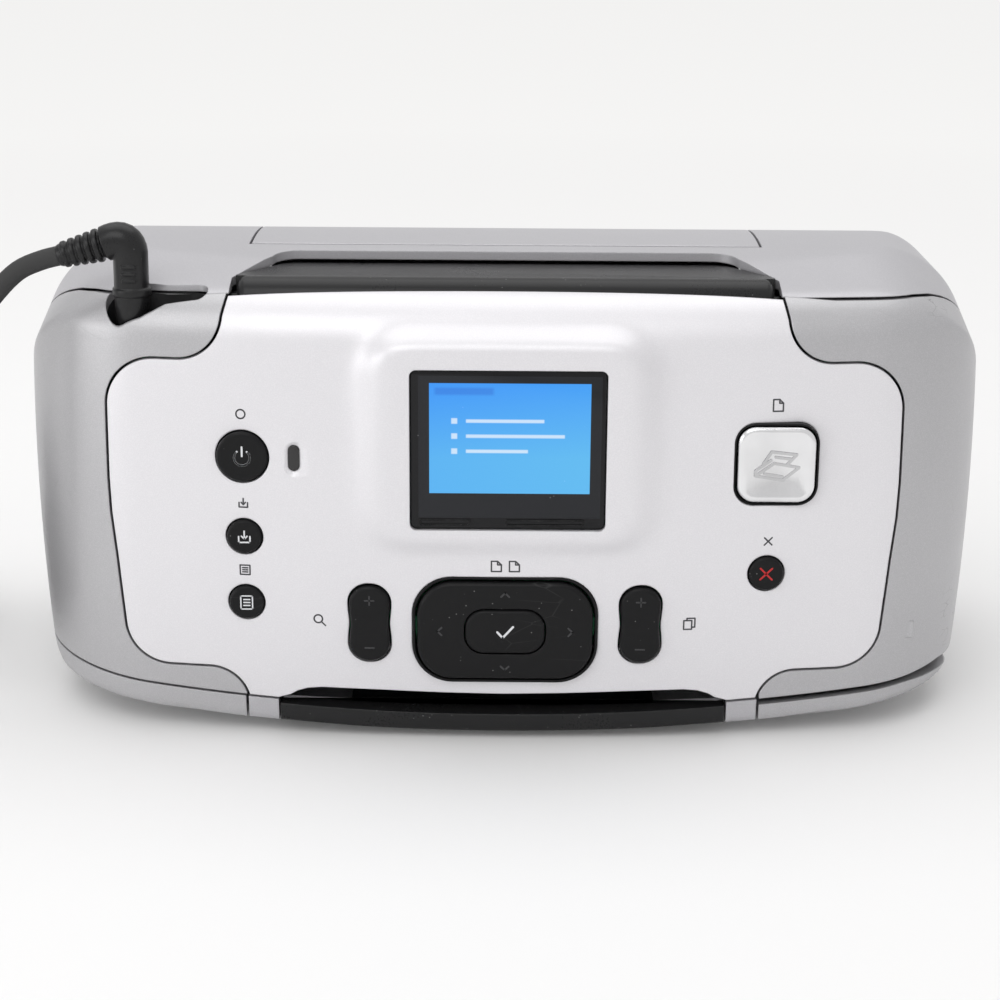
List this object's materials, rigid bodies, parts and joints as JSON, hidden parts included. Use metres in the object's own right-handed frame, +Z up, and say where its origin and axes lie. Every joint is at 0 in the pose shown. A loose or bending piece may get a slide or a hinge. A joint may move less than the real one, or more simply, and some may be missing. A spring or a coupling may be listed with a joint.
{
  "type": "compact photo printer",
  "caption": "Compact desktop photo printer with a small screen, round buttons, flip-up carry handle, folding paper tray, side cartridge door and pull-out photo tray, with its power lead.",
  "frame": {"origin": "Middle of the printer's footprint, on the surface it stands on", "axes": "X to the right seen from the front, Y to the back, Z up"},
  "size_m": [0.365, 0.1335, 0.1171],
  "materials": {
    "pearl_white_plastic": "pearl satin",
    "satin_gray_plastic": "satin metallic paint look",
    "light_gray_plastic": "satin",
    "black_plastic": "gloss",
    "dark_plastic": "fine texture",
    "screen_glass": "gloss",
    "display": "lit",
    "chrome": "satin chrome",
    "bare_steel": "drawn",
    "rubber": "matte",
    "board_green": "solder mask",
    "natural_nylon": "plain",
    "cord_black": "matte"
  },
  "bodies": {
    "frame": {"base": "light_gray_plastic", "base_skirt_left": "satin_gray_plastic", "base_skirt_right": "satin_gray_plastic", "left_shell": "satin_gray_plastic", "top_cover": "light_gray_plastic", "rear_cover": "satin_gray_plastic", "front_panel": "pearl_white_plastic", "exit_frame": "dark_plastic", "screen_lens": "screen_glass", "screen_module": "display", "led_lens": "dark_plastic", "print_ring": "black_plastic", "pad_well": "black_plastic", "button_board": "board_green", "handle_well": "dark_plastic", "tray_liner": "dark_plastic", "platen": "dark_plastic", "exit_belt": "rubber", "feed_motor": "bare_steel", "chassis": "bare_steel", "carriage_rod": "bare_steel", "drive_belt": "rubber", "carriage_motor": "bare_steel", "service_station": "dark_plastic", "main_board": "board_green", "usb_socket": "bare_steel", "dc_port": "dark_plastic", "power_plug": "cord_black", "rubber_feet": "rubber", "base_screws": "bare_steel", "hinge_pins": "bare_steel", "power_cord": "cord_black", "cord_coil": "cord_black", "cord_tie": "dark_plastic", "power_adapter": "dark_plastic"},
    "cartridge_door": {"cartridge_door": "satin_gray_plastic"},
    "on_button": {"on_button": "black_plastic"},
    "save_button": {"save_button": "black_plastic"},
    "menu_button": {"menu_button": "black_plastic"},
    "cancel_button": {"cancel_button": "black_plastic"},
    "print_button": {"print_button": "chrome"},
    "pad_gimbal": {"pad_gimbal": "dark_plastic"},
    "select_pad": {"select_pad": "black_plastic"},
    "ok_button": {"ok_button": "black_plastic"},
    "zoom_rocker": {"zoom_rocker": "black_plastic"},
    "copies_rocker": {"copies_rocker": "black_plastic"},
    "carry_handle": {"carry_handle": "dark_plastic"},
    "tray_extension": {"tray_extension": "light_gray_plastic"},
    "width_guide": {"width_guide": "dark_plastic"},
    "output_tray": {"output_tray": "dark_plastic"},
    "feed_roller": {"feed_roller": "rubber"},
    "exit_roller": {"exit_roller": "rubber"},
    "star_wheels": {"star_wheels": "bare_steel"},
    "feed_pinion": {"feed_pinion": "natural_nylon"},
    "motor_pulley": {"motor_pulley": "natural_nylon"},
    "idler_pulley": {"idler_pulley": "natural_nylon"},
    "input_tray": {"input_tray": "light_gray_plastic", "fold_pin": "bare_steel"},
    "carriage": {"carriage": "dark_plastic", "print_cartridge": "dark_plastic"}
  },
  "joints": [
    {"name": "door_hinge", "type": "hinge", "parent": "frame", "child": "cartridge_door", "pos_m": [0.1064, 0.0387, 0.053], "axis": [0, 0, 1], "range_deg": [0, 60]},
    {"name": "handle_hinge", "type": "hinge", "parent": "frame", "child": "carry_handle", "pos_m": [0, -0.037, 0.0984], "axis": [1, 0, 0], "range_deg": [0, 90]},
    {"name": "tray_hinge", "type": "hinge", "parent": "frame", "child": "input_tray", "pos_m": [0, 0.054, 0.036], "axis": [-1, 0, 0], "range_deg": [0, 60]},
    {"name": "fold_hinge", "type": "hinge", "parent": "input_tray", "child": "tray_extension", "pos_m": [0, 0.0195, 0.1006], "axis": [-1, 0, 0], "range_deg": [0, 56]},
    {"name": "width_guide_slide", "type": "slide", "parent": "input_tray", "child": "width_guide", "axis": [-1, 0, 0], "range_m": [0, 0.012]},
    {"name": "output_tray_slide", "type": "slide", "parent": "frame", "child": "output_tray", "axis": [0, -1, 0], "range_m": [0, 0.038]},
    {"name": "on_button_press", "type": "slide", "parent": "frame", "child": "on_button", "axis": [0, 1, 0], "range_m": [0, 0.0008], "stiffness_N_per_m": 900},
    {"name": "save_button_press", "type": "slide", "parent": "frame", "child": "save_button", "axis": [0, 1, 0], "range_m": [0, 0.0008], "stiffness_N_per_m": 900},
    {"name": "menu_button_press", "type": "slide", "parent": "frame", "child": "menu_button", "axis": [0, 1, 0], "range_m": [0, 0.0008], "stiffness_N_per_m": 900},
    {"name": "cancel_button_press", "type": "slide", "parent": "frame", "child": "cancel_button", "axis": [0, 1, 0], "range_m": [0, 0.0008], "stiffness_N_per_m": 900},
    {"name": "print_button_press", "type": "slide", "parent": "frame", "child": "print_button", "axis": [0, 1, 0], "range_m": [0, 0.0008], "stiffness_N_per_m": 900},
    {"name": "ok_button_press", "type": "slide", "parent": "select_pad", "child": "ok_button", "axis": [0, 1, 0], "range_m": [0, 0.0008], "stiffness_N_per_m": 900},
    {"name": "pad_tip_up_down", "type": "hinge", "parent": "frame", "child": "pad_gimbal", "pos_m": [0.0004, -0.0509, 0.0274], "axis": [1, 0, 0], "range_deg": [-3, 3], "stiffness_Nm_per_rad": 0.5},
    {"name": "pad_tip_sideways", "type": "hinge", "parent": "pad_gimbal", "child": "select_pad", "pos_m": [0.0004, -0.0509, 0.0274], "axis": [0, 0, 1], "range_deg": [-2.5, 2.5], "stiffness_Nm_per_rad": 0.5},
    {"name": "zoom_rocker_tip", "type": "hinge", "parent": "frame", "child": "zoom_rocker", "pos_m": [-0.0299, -0.05009, 0.0285], "axis": [1, 0, 0], "range_deg": [-4, 4], "stiffness_Nm_per_rad": 0.3},
    {"name": "copies_rocker_tip", "type": "hinge", "parent": "frame", "child": "copies_rocker", "pos_m": [0.0307, -0.05004, 0.0285], "axis": [1, 0, 0], "range_deg": [-4, 4], "stiffness_Nm_per_rad": 0.3},
    {"name": "carriage_slide", "type": "slide", "parent": "frame", "child": "carriage", "axis": [-1, 0, 0], "range_m": [0, 0.119]},
    {"name": "motor_pulley_turn", "type": "hinge", "parent": "frame", "child": "motor_pulley", "pos_m": [-0.072, 0.024, 0.059], "axis": [0, 0, 1], "range_deg": [-10, 1500]},
    {"name": "idler_pulley_turn", "type": "hinge", "parent": "frame", "child": "idler_pulley", "pos_m": [0.088, 0.024, 0.059], "axis": [0, 0, 1], "range_deg": [-10, 1500]},
    {"name": "feed_roller_turn", "type": "hinge", "parent": "frame", "child": "feed_roller", "pos_m": [0, 0.041, 0.019], "axis": [1, 0, 0], "continuous": true},
    {"name": "feed_pinion_turn", "type": "hinge", "parent": "frame", "child": "feed_pinion", "pos_m": [-0.086, 0.0273, 0.024], "axis": [1, 0, 0], "continuous": true},
    {"name": "exit_roller_turn", "type": "hinge", "parent": "frame", "child": "exit_roller", "pos_m": [0, -0.03, 0.008], "axis": [1, 0, 0], "continuous": true},
    {"name": "star_wheels_turn", "type": "hinge", "parent": "frame", "child": "star_wheels", "pos_m": [0, -0.03, 0.0135], "axis": [1, 0, 0], "continuous": true}
  ],
  "couplings": [
    {"joint": "motor_pulley_turn", "follows": "carriage_slide", "rad_per_m": 212.77},
    {"joint": "idler_pulley_turn", "follows": "carriage_slide", "rad_per_m": 212.77},
    {"joint": "feed_pinion_turn", "follows": "feed_roller_turn", "ratio": -2.763},
    {"joint": "exit_roller_turn", "follows": "feed_roller_turn", "ratio": 4.048},
    {"joint": "star_wheels_turn", "follows": "feed_roller_turn", "ratio": -2.742}
  ]
}
